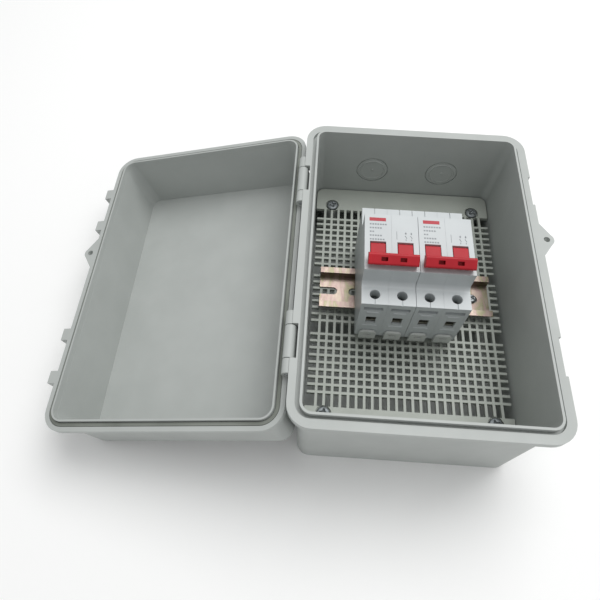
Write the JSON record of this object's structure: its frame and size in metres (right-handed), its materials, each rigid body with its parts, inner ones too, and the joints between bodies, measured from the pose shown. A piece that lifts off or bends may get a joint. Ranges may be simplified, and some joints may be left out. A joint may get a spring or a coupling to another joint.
{
  "type": "dc combiner box",
  "caption": "Hinged moulded enclosure with a perforated mounting plate, a top-hat rail and two-pole breakers that join photovoltaic strings.",
  "frame": {"origin": "centre of the flat back face, which goes against the wall", "axes": "+Z out of the back towards the open front, +Y up the box, +X towards the latch side; the lid hinge runs along Y on the -X side"},
  "size_m": [0.3438, 0.2386, 0.116],
  "materials": {
    "abs_grey": "moulded, fine satin texture",
    "plate_grey": "moulded, satin",
    "gasket_grey": "foamed, closed cell",
    "breaker_grey": "moulded thermoset, fine satin",
    "toggle_red": "moulded, semi-gloss",
    "clip_white": "moulded, satin",
    "zinc_yellow": "zinc plated, yellow passivated",
    "zinc_clear": "zinc plated, clear passivated",
    "steel_dark": "plain sheet",
    "brass": "machined",
    "copper": "enamelled copper winding",
    "stainless": "drawn wire"
  },
  "bodies": {
    "enclosure": {"base_tub": "abs_grey", "mounting_plate": "plate_grey", "din_rail": "zinc_yellow", "plate_screw_1": "zinc_clear", "plate_screw_2": "zinc_clear", "plate_screw_3": "zinc_clear", "plate_screw_4": "zinc_clear", "rail_screw_1": "zinc_clear", "rail_screw_2": "zinc_clear", "hinge_pin_1": "stainless", "hinge_pin_2": "stainless", "pole_1_case": "breaker_grey", "pole_1_cover": "breaker_grey", "pole_1_cage_lower": "brass", "pole_1_cage_upper": "brass", "pole_1_terminal_screw_lower": "zinc_clear", "pole_1_terminal_screw_upper": "zinc_clear", "pole_1_arc_chute": "steel_dark", "pole_1_trip_coil": "copper", "pole_2_case": "breaker_grey", "pole_2_cover": "breaker_grey", "pole_2_cage_lower": "brass", "pole_2_cage_upper": "brass", "pole_2_terminal_screw_lower": "zinc_clear", "pole_2_terminal_screw_upper": "zinc_clear", "pole_2_arc_chute": "steel_dark", "pole_2_trip_coil": "copper", "pole_3_case": "breaker_grey", "pole_3_cover": "breaker_grey", "pole_3_cage_lower": "brass", "pole_3_cage_upper": "brass", "pole_3_terminal_screw_lower": "zinc_clear", "pole_3_terminal_screw_upper": "zinc_clear", "pole_3_arc_chute": "steel_dark", "pole_3_trip_coil": "copper", "pole_4_case": "breaker_grey", "pole_4_cover": "breaker_grey", "pole_4_cage_lower": "brass", "pole_4_cage_upper": "brass", "pole_4_terminal_screw_lower": "zinc_clear", "pole_4_terminal_screw_upper": "zinc_clear", "pole_4_arc_chute": "steel_dark", "pole_4_trip_coil": "copper"},
    "lid": {"lid_shell": "abs_grey", "lid_gasket": "gasket_grey", "latch_pin_1": "stainless", "latch_pin_2": "stainless"},
    "latch_upper": {"latch_1": "abs_grey"},
    "latch_lower": {"latch_2": "abs_grey"},
    "toggle_left": {"pole_1_toggle": "toggle_red", "pole_2_toggle": "toggle_red", "tie_bar_1": "toggle_red"},
    "toggle_right": {"pole_3_toggle": "toggle_red", "pole_4_toggle": "toggle_red", "tie_bar_2": "toggle_red"},
    "clip_1": {"pole_1_rail_clip": "clip_white"},
    "clip_2": {"pole_2_rail_clip": "clip_white"},
    "clip_3": {"pole_3_rail_clip": "clip_white"},
    "clip_4": {"pole_4_rail_clip": "clip_white"}
  },
  "joints": [
    {"name": "lid_hinge", "type": "hinge", "parent": "enclosure", "child": "lid", "pos_m": [-0.084, 0, 0.0926], "axis": [0, 1, 0], "range_deg": [0, 194.73]},
    {"name": "latch_upper_pivot", "type": "hinge", "parent": "lid", "child": "latch_upper", "pos_m": [-0.24164, 0.065, 0.03936], "axis": [0, 1, 0], "range_deg": [0, 180]},
    {"name": "latch_lower_pivot", "type": "hinge", "parent": "lid", "child": "latch_lower", "pos_m": [-0.24164, -0.065, 0.03936], "axis": [0, 1, 0], "range_deg": [0, 180]},
    {"name": "toggle_left_pivot", "type": "hinge", "parent": "enclosure", "child": "toggle_left", "pos_m": [-0.0216, -0.00316, 0.099], "axis": [-1, 0, 0], "range_deg": [0, 70]},
    {"name": "toggle_right_pivot", "type": "hinge", "parent": "enclosure", "child": "toggle_right", "pos_m": [0.0144, -0.00316, 0.099], "axis": [-1, 0, 0], "range_deg": [0, 70]},
    {"name": "clip_1_slide", "type": "slide", "parent": "enclosure", "child": "clip_1", "axis": [0, -1, 0], "range_m": [0, 0.005], "stiffness_N_per_m": 300},
    {"name": "clip_2_slide", "type": "slide", "parent": "enclosure", "child": "clip_2", "axis": [0, -1, 0], "range_m": [0, 0.005], "stiffness_N_per_m": 300},
    {"name": "clip_3_slide", "type": "slide", "parent": "enclosure", "child": "clip_3", "axis": [0, -1, 0], "range_m": [0, 0.005], "stiffness_N_per_m": 300},
    {"name": "clip_4_slide", "type": "slide", "parent": "enclosure", "child": "clip_4", "axis": [0, -1, 0], "range_m": [0, 0.005], "stiffness_N_per_m": 300}
  ]
}
